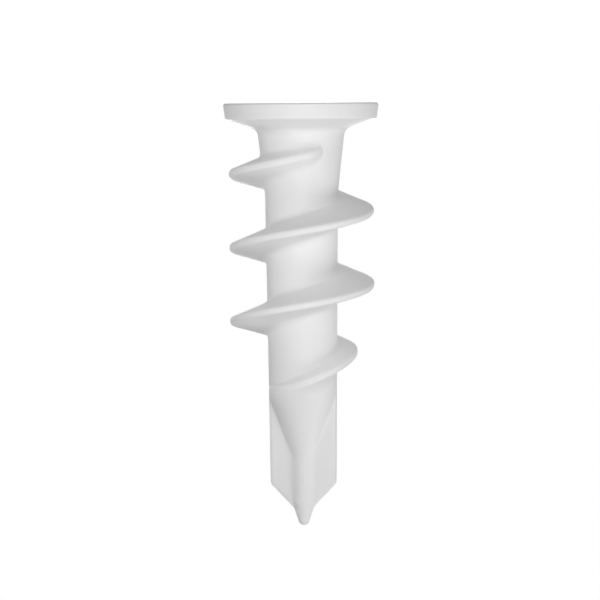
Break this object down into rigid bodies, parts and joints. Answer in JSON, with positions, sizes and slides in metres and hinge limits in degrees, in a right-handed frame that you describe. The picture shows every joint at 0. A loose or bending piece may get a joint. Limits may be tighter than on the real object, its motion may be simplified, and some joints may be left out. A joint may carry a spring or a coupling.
{
  "type": "self-drilling plasterboard anchor",
  "caption": "One-piece white nylon anchor with a flanged head, a deep right-hand thread on a drafted barrel, and a flat drill blade with a central rib and nib.",
  "frame": {"origin": "centre of the head's outer face, which is the face that the part stands on", "axes": "+Z along the anchor's axis from the head to the drill tip; the blade lies near the XZ plane and turns 8 degrees from it about Z"},
  "size_m": [0.014, 0.014, 0.038],
  "materials": {
    "white_nylon": "satin moulded nylon"
  },
  "bodies": {
    "root": {"anchor_body": "white_nylon"}
  },
  "joints": []
}
